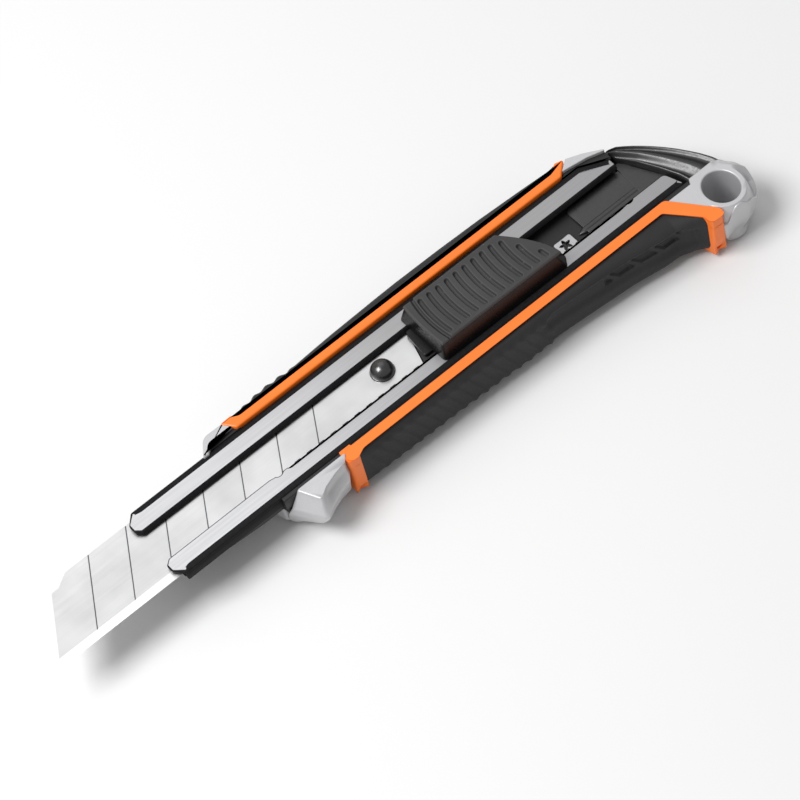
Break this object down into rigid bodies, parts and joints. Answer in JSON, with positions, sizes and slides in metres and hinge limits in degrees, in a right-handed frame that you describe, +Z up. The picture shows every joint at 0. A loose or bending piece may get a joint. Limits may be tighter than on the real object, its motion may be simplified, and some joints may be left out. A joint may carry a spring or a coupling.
{
  "type": "utility knife",
  "caption": "Snap-off utility knife with a steel blade guide, ribbed locking slider, two-part silver housing, soft side grips, coloured trims, pull-off end cap and lanyard eye",
  "frame": {"origin": "on the resting face of the back pad, under the middle line of the blade", "axes": "+X from the blade's tip to the tail, +Y to the blade's blunt back edge, +Z up from the resting face"},
  "size_m": [0.1852, 0.0399, 0.0183],
  "materials": {
    "blade_steel": "satin ground tool steel with a brighter ground edge",
    "coated_steel": "folded steel sheet with a dark grey satin coating",
    "spring_steel": "bright spring steel",
    "screw_steel": "blackened steel",
    "gloss_black": "glossy black moulded plastic",
    "slider_rubber": "ribbed dark grey thermoplastic rubber",
    "black_plastic": "black moulded nylon",
    "silver_body": "satin silver-white lacquer",
    "orange_trim": "orange moulded thermoplastic rubber",
    "soft_grip": "black thermoplastic rubber"
  },
  "bodies": {
    "handle": {"blade_guide": "coated_steel", "guide_rivets": "spring_steel", "inner_frame": "black_plastic", "front_shell": "silver_body", "back_shell": "silver_body", "body_screws": "screw_steel", "upper_trim": "orange_trim", "lower_trim": "orange_trim", "upper_grip": "soft_grip", "lower_grip": "soft_grip", "back_pad": "soft_grip"},
    "blade_carriage": {"blade": "blade_steel", "blade_carrier": "spring_steel", "blade_stud": "black_plastic", "slider_button": "gloss_black", "slider_pad": "slider_rubber", "spring_rivet": "spring_steel"},
    "lock": {"lock_spring": "spring_steel"},
    "rear_cap": {"end_cap": "black_plastic", "cap_spring": "spring_steel"}
  },
  "joints": [
    {"name": "blade_slide", "type": "slide", "parent": "handle", "child": "blade_carriage", "axis": [1, 0, 0], "range_m": [-0.04592, 0.0328]},
    {"name": "lock_release", "type": "hinge", "parent": "blade_carriage", "child": "lock", "pos_m": [0.0175, -0.0034, 0.013], "axis": [0, 0, 1], "range_deg": [-3.5, 0], "stiffness_Nm_per_rad": 0.02},
    {"name": "cap_pull", "type": "slide", "parent": "handle", "child": "rear_cap", "axis": [1, 0, 0], "range_m": [0, 0.025]}
  ]
}
